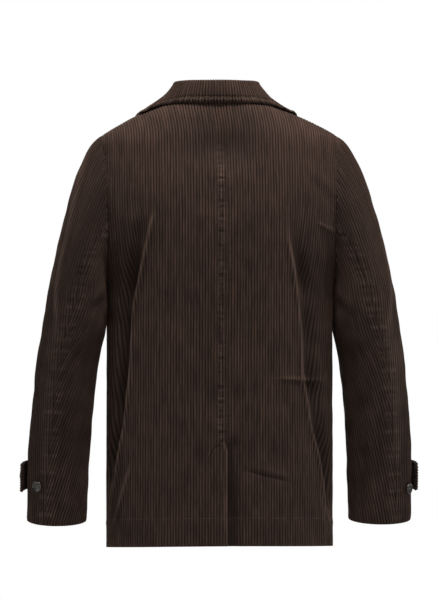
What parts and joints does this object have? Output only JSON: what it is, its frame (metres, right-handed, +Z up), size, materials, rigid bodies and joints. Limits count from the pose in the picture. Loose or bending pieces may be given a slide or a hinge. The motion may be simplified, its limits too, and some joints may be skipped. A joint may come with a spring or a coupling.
{
  "type": "double-breasted peacoat",
  "caption": "Hip-length corduroy peacoat in its worn form, with notched lapels, turned collar, two-piece sleeves, cuff straps and a back vent; hollow inside.",
  "frame": {"origin": "base of the neck, in the middle of the neck opening, where the wearer's shoulders carry the coat", "axes": "+Z up; +Y towards the front the wearer faces, so the back faces -Y; +X towards the wearer's right"},
  "size_m": [0.6612, 0.2554, 0.7664],
  "materials": {
    "corduroy": "very dark brown wide-wale cotton corduroy, soft pile",
    "button_horn": "dark horn look, polished"
  },
  "bodies": {
    "root": {"back_left": "corduroy", "back_right": "corduroy", "front_left": "corduroy", "front_right": "corduroy", "lapel_left": "corduroy", "lapel_right": "corduroy", "collar": "corduroy", "sleeve_top_left": "corduroy", "sleeve_top_right": "corduroy", "sleeve_under_left": "corduroy", "sleeve_under_right": "corduroy", "cuff_strap_left": "corduroy", "cuff_strap_right": "corduroy", "strap_button_left": "button_horn", "strap_button_right": "button_horn", "cuff_button_left": "button_horn", "cuff_button_right": "button_horn", "front_button_1": "button_horn", "front_button_2": "button_horn", "front_button_3": "button_horn", "front_button_4": "button_horn", "front_button_5": "button_horn", "front_button_6": "button_horn"}
  },
  "joints": []
}
